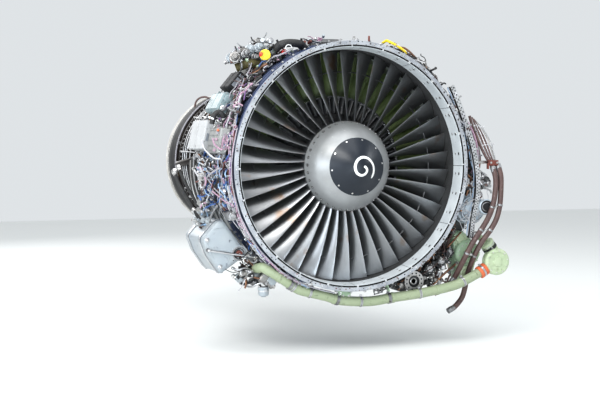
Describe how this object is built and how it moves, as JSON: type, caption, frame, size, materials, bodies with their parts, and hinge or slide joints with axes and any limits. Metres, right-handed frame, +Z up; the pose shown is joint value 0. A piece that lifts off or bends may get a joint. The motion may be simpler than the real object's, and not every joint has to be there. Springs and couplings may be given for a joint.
{
  "type": "turbofan jet engine",
  "caption": "Bare high-bypass turbofan aircraft engine with shrouded wide fan, spinner, fan case, core, exhaust and side-mounted accessories; it turns intake air into thrust.",
  "frame": {"origin": "centre of the fan case front flange, on the shaft axis", "axes": "+Y aft along the shaft, +Z up, +X to the right seen from the front"},
  "size_m": [2.1762, 2.98, 1.8844],
  "materials": {
    "slate_case": "satin",
    "light_alloy": "satin",
    "bare_steel": "satin",
    "blade_titanium": "satin",
    "spinner_grey": "satin",
    "spinner_black": "semi-gloss",
    "abradable": "matt",
    "green_primer": "satin",
    "hot_metal": "heat stained",
    "tank_grey": "satin",
    "box_white": "satin",
    "brown_hose": "matt",
    "clamp_orange": "matt",
    "harness": "braided",
    "cap_red": "semi-gloss"
  },
  "bodies": {
    "engine": {"fan_inlet_case": "slate_case", "inlet_liner": "light_alloy", "fan_shroud_ring": "abradable", "aft_acoustic_liner": "light_alloy", "case_flange_bolts": "bare_steel", "fan_frame": "light_alloy", "outlet_guide_vanes": "green_primer", "splitter_case": "light_alloy", "booster_vanes": "bare_steel", "main_bearings": "bare_steel", "compressor_case": "bare_steel", "compressor_vanes": "bare_steel", "vane_actuator": "bare_steel", "combustion_case": "hot_metal", "combustor_liner": "hot_metal", "fuel_nozzles": "bare_steel", "fuel_manifold": "bare_steel", "turbine_nozzle_ring": "hot_metal", "low_pressure_turbine_case": "hot_metal", "low_pressure_turbine_vanes": "hot_metal", "turbine_cooling_tubes": "bare_steel", "turbine_rear_frame": "hot_metal", "exhaust_nozzle": "light_alloy", "exhaust_plug": "hot_metal", "transfer_gearbox": "light_alloy", "accessory_gearbox": "light_alloy", "starter": "light_alloy", "generator_housing": "green_primer", "fuel_control": "light_alloy", "oil_tank": "tank_grey", "oil_filter": "light_alloy", "lower_air_duct": "green_primer", "fuel_hoses": "brown_hose", "wiring_and_tubes": "harness", "control_boxes": "box_white", "valve_group": "bare_steel", "pipe_clamps": "clamp_orange", "forward_mount": "bare_steel", "aft_mount": "bare_steel"},
    "fan_rotor": {"spinner_front_cone": "spinner_black", "spinner_rear_cone": "spinner_grey", "spinner_screws": "bare_steel", "fan_disk": "blade_titanium", "fan_blades": "blade_titanium", "booster_rotor": "blade_titanium", "low_pressure_shaft": "bare_steel", "low_pressure_turbine_rotor": "hot_metal"},
    "core_rotor": {"high_pressure_compressor_rotor": "blade_titanium", "high_pressure_turbine_rotor": "hot_metal"},
    "bleed_ring": {"booster_bleed_ring": "bare_steel"},
    "vane_ring": {"vane_unison_ring": "light_alloy"},
    "vane_rod": {"vane_actuator_rod": "bare_steel"},
    "drive_shaft": {"radial_drive_shaft": "bare_steel"},
    "gear_input": {"input_gear": "bare_steel"},
    "gear_idler": {"idler_gear": "bare_steel"},
    "gear_pump": {"pump_gear": "bare_steel"},
    "gear_generator": {"generator_gear": "bare_steel"},
    "gear_starter": {"starter_gear": "bare_steel"},
    "control_lever": {"fuel_control_lever": "bare_steel"},
    "tank_cap": {"oil_tank_cap": "cap_red"}
  },
  "joints": [
    {"name": "fan_spin", "type": "hinge", "parent": "engine", "child": "fan_rotor", "pos_m": [0, 0.22, 0], "axis": [0, -1, 0], "continuous": true},
    {"name": "core_spin", "type": "hinge", "parent": "engine", "child": "core_rotor", "pos_m": [0, 1.1, 0], "axis": [0, -1, 0], "continuous": true},
    {"name": "drive_shaft_spin", "type": "hinge", "parent": "engine", "child": "drive_shaft", "pos_m": [0.26125, 0.79, -0.42632], "axis": [0.5225, 0, -0.8526], "continuous": true},
    {"name": "input_gear_spin", "type": "hinge", "parent": "engine", "child": "gear_input", "pos_m": [0.47809, 0.361, -0.78017], "axis": [0, -1, 0], "continuous": true},
    {"name": "idler_gear_spin", "type": "hinge", "parent": "engine", "child": "gear_idler", "pos_m": [0.6201, 0.361, -0.70646], "axis": [0, -1, 0], "continuous": true},
    {"name": "pump_gear_spin", "type": "hinge", "parent": "engine", "child": "gear_pump", "pos_m": [0.74459, 0.361, -0.60595], "axis": [0, -1, 0], "continuous": true},
    {"name": "generator_gear_spin", "type": "hinge", "parent": "engine", "child": "gear_generator", "pos_m": [0.84696, 0.361, -0.48299], "axis": [0, -1, 0], "continuous": true},
    {"name": "starter_gear_spin", "type": "hinge", "parent": "engine", "child": "gear_starter", "pos_m": [0.92354, 0.361, -0.3425], "axis": [0, -1, 0], "continuous": true},
    {"name": "vane_ring_turn", "type": "hinge", "parent": "engine", "child": "vane_ring", "pos_m": [0, 0.971, 0], "axis": [0, 1, 0], "range_deg": [0, 8]},
    {"name": "vane_rod_slide", "type": "slide", "parent": "engine", "child": "vane_rod", "axis": [0.5, 0, 0.866], "range_m": [0, 0.047]},
    {"name": "bleed_ring_slide", "type": "slide", "parent": "engine", "child": "bleed_ring", "axis": [0, -1, 0], "range_m": [0, 0.025]},
    {"name": "control_lever_turn", "type": "hinge", "parent": "engine", "child": "control_lever", "pos_m": [0.83459, 0.55, -0.60595], "axis": [1, 0, 0], "range_deg": [0, 110]},
    {"name": "tank_cap_turn", "type": "hinge", "parent": "engine", "child": "tank_cap", "pos_m": [-0.727, 0.2, -0.563], "axis": [0, -1, 0], "range_deg": [0, 90]}
  ],
  "couplings": [
    {"joint": "drive_shaft_spin", "follows": "core_spin", "ratio": 2.8},
    {"joint": "input_gear_spin", "follows": "core_spin", "ratio": 2.5},
    {"joint": "idler_gear_spin", "follows": "core_spin", "ratio": -2.5},
    {"joint": "pump_gear_spin", "follows": "core_spin", "ratio": 2.5},
    {"joint": "generator_gear_spin", "follows": "core_spin", "ratio": -2.5},
    {"joint": "starter_gear_spin", "follows": "core_spin", "ratio": 2.5},
    {"joint": "vane_rod_slide", "follows": "vane_ring_turn", "m_per_rad": 0.332}
  ]
}
